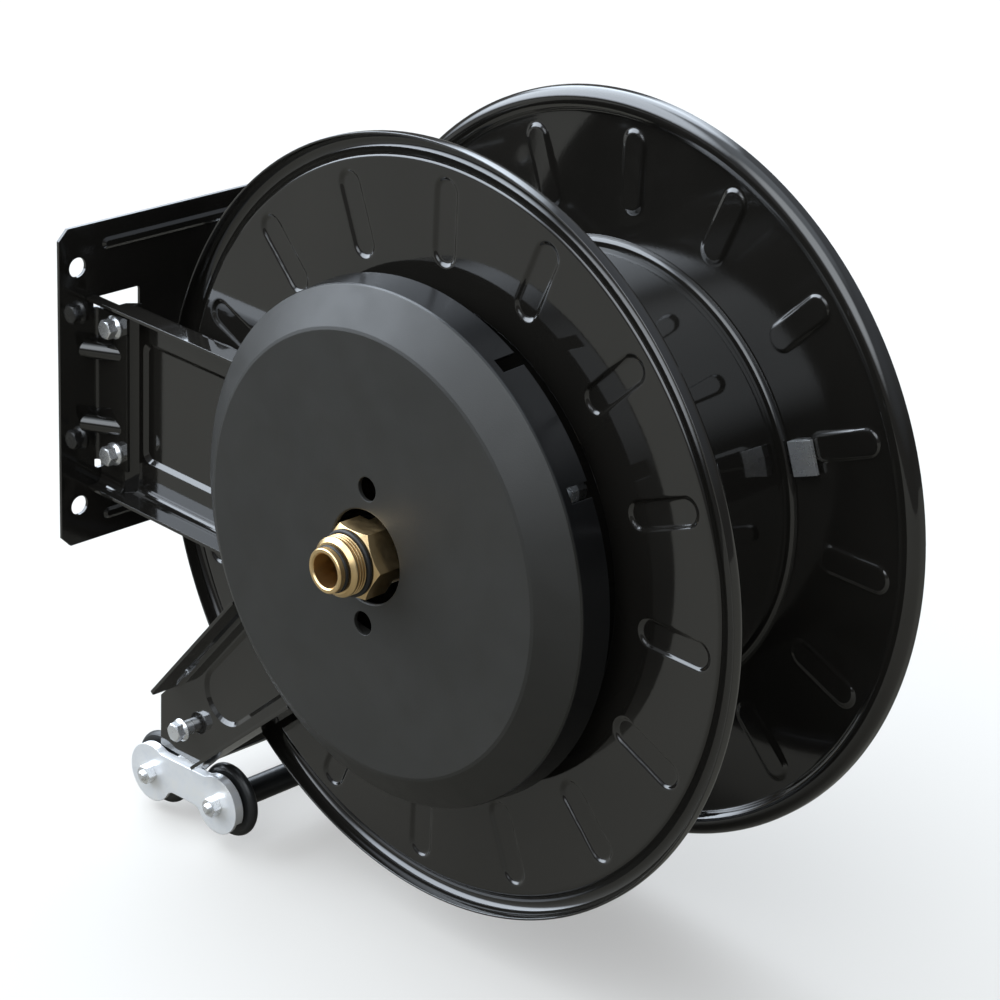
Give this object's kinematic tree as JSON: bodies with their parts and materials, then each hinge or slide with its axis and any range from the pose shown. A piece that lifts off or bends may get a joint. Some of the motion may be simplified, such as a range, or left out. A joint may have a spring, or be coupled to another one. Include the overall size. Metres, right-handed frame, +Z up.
{
  "type": "fuel hose reel",
  "caption": "Wall-mounted spring-rewind hose reel: pressed flanges on a barrel between two channel arms, covered spring side with brass inlet, and a roller guide below.",
  "frame": {"origin": "middle of the four mounting holes, on the wall plate's back face", "axes": "+X away from the wall, +Y along the drum's axle from the inlet side to the far side, +Z up"},
  "size_m": [0.603, 0.3442, 0.5887],
  "materials": {
    "paint": "high-gloss black powder coat",
    "zinc": "bright zinc plate",
    "steel": "plain turned or pressed steel",
    "brass": "machined brass",
    "bronze": "oil-filled bronze",
    "cover_plastic": "fine matt texture",
    "roller_plastic": "satin black",
    "seal": "matt black nitrile",
    "spring_steel": "blued strip"
  },
  "bodies": {
    "frame": {"wall_plate": "paint", "near_arm": "paint", "far_arm": "paint", "arm_bolts": "zinc", "arm_nuts": "zinc", "near_guide_arm": "paint", "far_guide_arm": "paint", "guide_tie": "paint", "near_bracket": "zinc", "far_bracket": "zinc", "guide_bolts": "zinc", "guide_nuts": "zinc", "roller_pins": "zinc", "roller_nuts": "zinc", "roller_spacers": "zinc", "spring_cover": "cover_plastic", "cover_screws": "zinc", "inlet_fitting": "brass", "inlet_rings": "seal", "axle": "steel", "hub_bolts": "zinc", "far_arm_bolts": "zinc", "far_arm_nuts": "zinc", "axle_nut": "zinc", "axle_washer": "zinc", "far_spacer": "steel", "pawl_pin": "zinc", "swivel_seals": "seal"},
    "drum": {"near_flange": "paint", "far_flange": "paint", "hose_tab": "zinc", "barrel": "paint", "tie_rods": "zinc", "tie_nuts": "zinc", "spring_case": "steel", "spring_lid": "steel", "lid_screws": "zinc", "power_spring": "spring_steel", "near_bush": "bronze", "far_bush": "bronze", "far_hub": "steel", "far_hub_bolts": "zinc", "far_hub_nuts": "zinc", "ratchet_ring": "steel", "swivel_housing": "brass", "outlet_elbow": "brass"},
    "front_roller": {"front_roller": "roller_plastic"},
    "rear_roller": {"rear_roller": "roller_plastic"},
    "pawl": {"pawl": "steel"}
  },
  "joints": [
    {"name": "drum_spin", "type": "hinge", "parent": "frame", "child": "drum", "pos_m": [0.328, 0, -0.015], "axis": [0, 1, 0], "continuous": true, "stiffness_Nm_per_rad": 0.12},
    {"name": "front_roller_spin", "type": "hinge", "parent": "frame", "child": "front_roller", "pos_m": [0.13974, 0, -0.29582], "axis": [0, 1, 0], "continuous": true},
    {"name": "rear_roller_spin", "type": "hinge", "parent": "frame", "child": "rear_roller", "pos_m": [0.06306, 0, -0.29998], "axis": [0, 1, 0], "continuous": true},
    {"name": "pawl_pivot", "type": "hinge", "parent": "frame", "child": "pawl", "pos_m": [0.223, 0, 0.015], "axis": [0, 1, 0], "range_deg": [-25, 4.5]}
  ]
}
